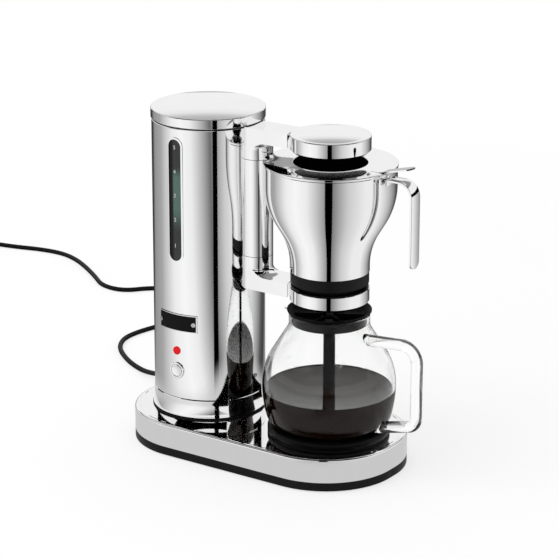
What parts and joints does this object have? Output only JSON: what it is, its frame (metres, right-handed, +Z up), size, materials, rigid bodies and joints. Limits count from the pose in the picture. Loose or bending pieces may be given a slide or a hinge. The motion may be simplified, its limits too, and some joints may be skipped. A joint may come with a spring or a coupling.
{
  "type": "filter coffee maker",
  "caption": "Electric filter coffee maker: a polished round water tower and a glass carafe on one long base, with a flared filter basket under a shower head on a bracket.",
  "frame": {"origin": "on the table under the middle of the object's length and width, its cord left out", "axes": "X runs from the water tower to the carafe, -Y is the front with the button and gauge, Z is up"},
  "size_m": [0.9818, 0.4658, 0.3555],
  "materials": {
    "black_plastic": "moulded, fine grain",
    "rubber": "soft, matt",
    "screw_steel": "plain steel",
    "polished_steel": "mirror polished",
    "plate_black": "black non-stick coating",
    "heater_metal": "as extruded",
    "hose": "translucent silicone",
    "board_green": "circuit board with plain components",
    "gauge_glass": "clear, dark behind",
    "tank_plastic": "smoked plastic",
    "badge_rim": "bright rim",
    "badge_black": "black, bare",
    "red_lens": "clear red",
    "carafe_glass": "clear heat-proof glass",
    "cord_black": "smooth black",
    "pin_brass": "plain"
  },
  "bodies": {
    "machine": {"base_pan": "black_plastic", "rubber_pads": "rubber", "base_screws": "screw_steel", "base_cover": "polished_steel", "hotplate": "plate_black", "hotplate_gasket": "rubber", "hotplate_element": "heater_metal", "thermostat": "black_plastic", "flow_heater": "heater_metal", "inlet_hose": "hose", "check_valve": "black_plastic", "riser_hose": "hose", "control_board": "board_green", "tank_shelf": "black_plastic", "tower_foot": "polished_steel", "tower_gasket": "rubber", "tower_screws": "screw_steel", "tower_shell": "polished_steel", "window_frame": "polished_steel", "gauge_window": "gauge_glass", "badge_plate": "badge_rim", "badge_inlay": "badge_black", "badge_screws": "screw_steel", "indicator_lens": "red_lens", "indicator_led": "red_lens", "button_bezel": "polished_steel", "button_switch": "black_plastic", "carafe_sensor": "screw_steel", "water_tank": "tank_plastic", "column_tube": "polished_steel", "lower_arm": "polished_steel", "upper_arm": "polished_steel", "bracket_screws": "screw_steel", "shower_head": "polished_steel", "spray_plate": "black_plastic", "brew_ring": "polished_steel", "ring_liner": "black_plastic", "cord_gland": "rubber", "power_cord": "cord_black", "cord_coil": "cord_black", "cord_tie": "rubber", "plug_body": "cord_black", "plug_pins": "pin_brass"},
    "tank_lid": {"tower_lid": "polished_steel", "lid_insert": "black_plastic", "lid_seal": "rubber"},
    "carafe": {"carafe_glass": "carafe_glass", "carafe_handle": "carafe_glass"},
    "carafe_stopper": {"carafe_lid": "black_plastic", "carafe_lid_seal": "rubber", "stir_tube": "black_plastic"},
    "basket": {"basket_shell": "polished_steel", "basket_foot": "black_plastic", "filter_holder": "black_plastic", "basket_handle": "polished_steel", "handle_rivets": "screw_steel"},
    "basket_cover": {"basket_lid": "polished_steel"},
    "button": {"button_cap": "polished_steel"},
    "valve_ball": {"check_ball": "screw_steel"}
  },
  "joints": [
    {"name": "tank_lid_lift", "type": "slide", "parent": "machine", "child": "tank_lid", "axis": [0, 0, 1], "range_m": [0, 0.06]},
    {"name": "carafe_pull", "type": "slide", "parent": "machine", "child": "carafe", "axis": [1, 0, 0], "range_m": [0, 0.2]},
    {"name": "carafe_stopper_lift", "type": "slide", "parent": "carafe", "child": "carafe_stopper", "axis": [0, 0, 1], "range_m": [0, 0.006]},
    {"name": "basket_pull", "type": "slide", "parent": "machine", "child": "basket", "axis": [1, 0, 0], "range_m": [0, 0.18]},
    {"name": "basket_cover_lift", "type": "slide", "parent": "basket", "child": "basket_cover", "axis": [0, 0, 1], "range_m": [0, 0.007]},
    {"name": "button_press", "type": "slide", "parent": "machine", "child": "button", "axis": [0, 1, 0], "range_m": [0, 0.0018], "stiffness_N_per_m": 600},
    {"name": "valve_ball_lift", "type": "slide", "parent": "machine", "child": "valve_ball", "axis": [0, 0, 1], "range_m": [0, 0.002]}
  ]
}
